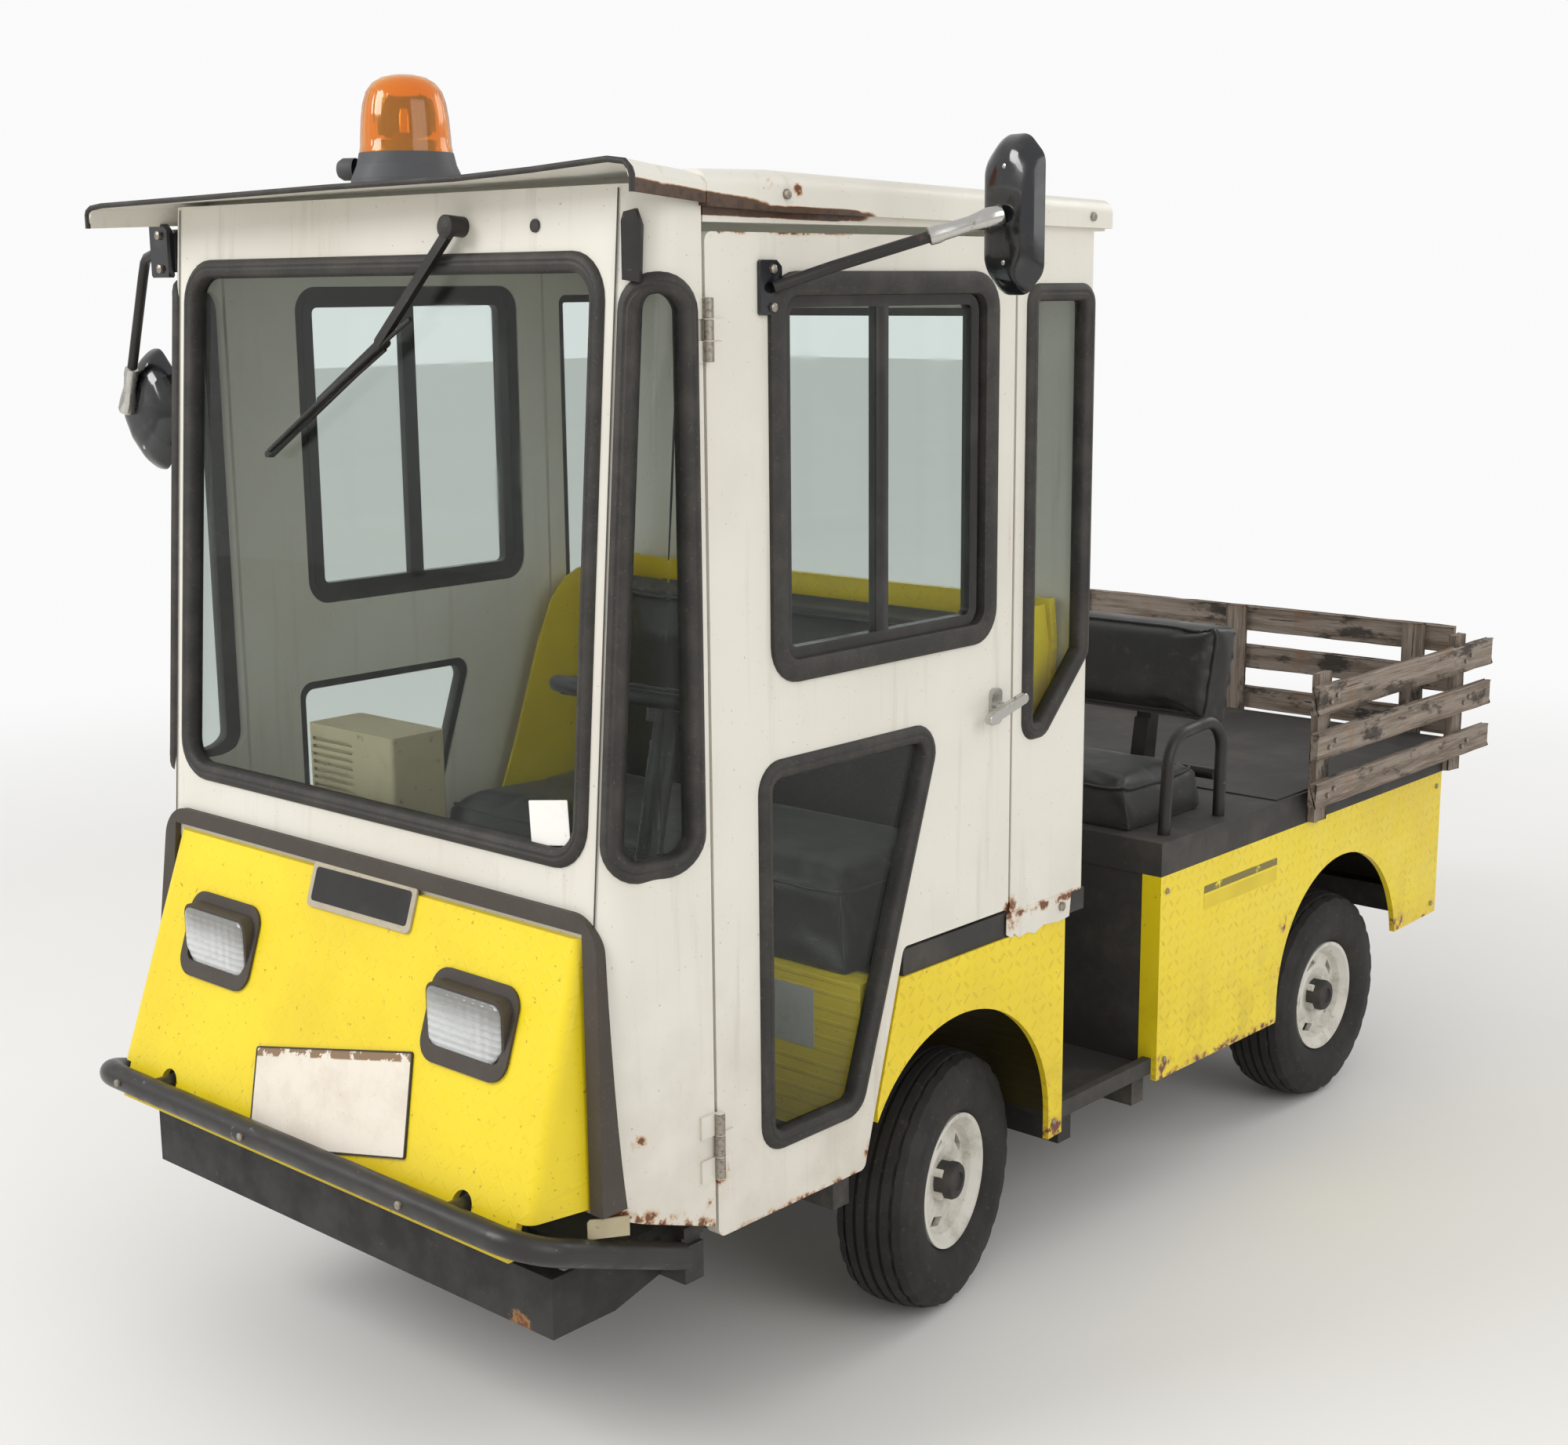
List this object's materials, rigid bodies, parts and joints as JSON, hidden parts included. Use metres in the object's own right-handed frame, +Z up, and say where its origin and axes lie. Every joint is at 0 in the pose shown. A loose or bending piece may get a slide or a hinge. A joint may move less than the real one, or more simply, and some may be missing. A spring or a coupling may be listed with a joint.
{
  "type": "electric utility cart",
  "caption": "Electric utility cart with a closed white cab, sloping yellow nose, tube bumper, amber beacon, rear seat with hip hoops and a wooden stake bed",
  "frame": {"origin": "On the floor under the middle of the cart: halfway along its overall length and halfway between its sides.", "axes": "-Y is the front of the cart, +X is its left side as the driver sits, +Z is up. The floor is Z 0."},
  "size_m": [1.75, 2.96, 2.0999],
  "materials": {
    "white_paint": "weathered gloss",
    "yellow_paint": "speckled gloss",
    "worn_black_paint": "worn satin",
    "dark_steel": "dull, dusty",
    "white_wheel_paint": "scuffed gloss",
    "beige_paint": "satin",
    "chrome_trim": "polished, pitted",
    "tyre_rubber": "dusty",
    "black_rubber": "matte, weathered",
    "black_plastic": "satin",
    "black_vinyl": "soft sheen",
    "weathered_wood": "raw, weathered",
    "window_glass": "clear, tinted",
    "lamp_lens": "ribbed, clear",
    "amber_lens": "translucent",
    "red_lens": "translucent"
  },
  "bodies": {
    "cart": {"chassis_frame": "dark_steel", "front_axle": "dark_steel", "rear_axle": "dark_steel", "drive_motor": "dark_steel", "leaf_springs": "dark_steel", "battery_pack": "black_plastic", "bumper": "worn_black_paint", "front_apron": "worn_black_paint", "nose_panel": "yellow_paint", "nose_trim": "black_rubber", "headlights": "lamp_lens", "cab_front": "white_paint", "cab_corners": "white_paint", "cab_quarters": "white_paint", "cab_rear_wall": "white_paint", "roof": "white_paint", "cab_glass": "window_glass", "beacon_base": "black_plastic", "beacon_dome": "amber_lens", "wiper": "worn_black_paint", "mirror_right": "black_plastic", "cab_floor": "dark_steel", "cab_sill": "dark_steel", "dashboard": "black_plastic", "heater": "beige_paint", "steering_column": "dark_steel", "front_body": "yellow_paint", "cab_seat_cushion": "black_vinyl", "cab_seat_back": "black_vinyl", "seat_shell": "yellow_paint", "step_floor": "dark_steel", "rear_side_panels": "yellow_paint", "rear_body_ends": "dark_steel", "cargo_deck": "dark_steel", "rear_seat_cushion": "black_vinyl", "rear_backrest": "black_vinyl", "rear_seat_frame": "worn_black_paint", "hip_hoops": "worn_black_paint", "stake_side_left": "weathered_wood", "stake_side_right": "weathered_wood", "stake_gate_rear": "weathered_wood", "tail_lamps": "red_lens"},
    "door_left": {"door_left": "white_paint", "door_glass_left": "window_glass", "door_handle_left": "chrome_trim", "mirror_left": "black_plastic"},
    "steer_left": {"knuckle_left": "dark_steel"},
    "door_right": {"door_right": "white_paint", "door_glass_right": "window_glass", "door_handle_right": "chrome_trim"},
    "steer_right": {"knuckle_right": "dark_steel"},
    "wheel_front_left": {"rim_front_left": "white_wheel_paint", "tyre_front_left": "tyre_rubber"},
    "wheel_front_right": {"rim_front_right": "white_wheel_paint", "tyre_front_right": "tyre_rubber"},
    "wheel_rear_left": {"rim_rear_left": "white_wheel_paint", "tyre_rear_left": "tyre_rubber"},
    "wheel_rear_right": {"rim_rear_right": "white_wheel_paint", "tyre_rear_right": "tyre_rubber"},
    "hand_wheel": {"steering_wheel": "black_plastic"}
  },
  "joints": [
    {"name": "steer_left", "type": "hinge", "parent": "cart", "child": "steer_left", "pos_m": [0.415, -0.474, 0.229], "axis": [0, 0, 1], "range_deg": [-42, 18]},
    {"name": "spin_front_left", "type": "hinge", "parent": "steer_left", "child": "wheel_front_left", "pos_m": [0.48102, -0.45997, 0.229], "axis": [0.9781, 0.2079, 0], "continuous": true},
    {"name": "spin_rear_left", "type": "hinge", "parent": "cart", "child": "wheel_rear_left", "pos_m": [0.4825, 0.893, 0.229], "axis": [1, 0, 0], "continuous": true},
    {"name": "swing_door_left", "type": "hinge", "parent": "cart", "child": "door_left", "pos_m": [0.598, -1.107, 1.1], "axis": [0, 0, -1], "range_deg": [0, 75]},
    {"name": "steer_right", "type": "hinge", "parent": "cart", "child": "steer_right", "pos_m": [-0.415, -0.474, 0.229], "axis": [0, 0, 1], "range_deg": [-42, 18]},
    {"name": "spin_front_right", "type": "hinge", "parent": "steer_right", "child": "wheel_front_right", "pos_m": [-0.48102, -0.48803, 0.229], "axis": [0.9781, 0.2079, 0], "continuous": true},
    {"name": "spin_rear_right", "type": "hinge", "parent": "cart", "child": "wheel_rear_right", "pos_m": [-0.4825, 0.893, 0.229], "axis": [1, 0, 0], "continuous": true},
    {"name": "swing_door_right", "type": "hinge", "parent": "cart", "child": "door_right", "pos_m": [-0.598, -1.107, 1.1], "axis": [0, 0, 1], "range_deg": [0, 75]},
    {"name": "turn_hand_wheel", "type": "hinge", "parent": "cart", "child": "hand_wheel", "pos_m": [0.27, -0.874, 1.085], "axis": [0, 0.2243, 0.9745], "range_deg": [-510, 220]}
  ],
  "couplings": [
    {"joint": "steer_right", "follows": "steer_left", "ratio": 1},
    {"joint": "turn_hand_wheel", "follows": "steer_left", "ratio": 12}
  ]
}
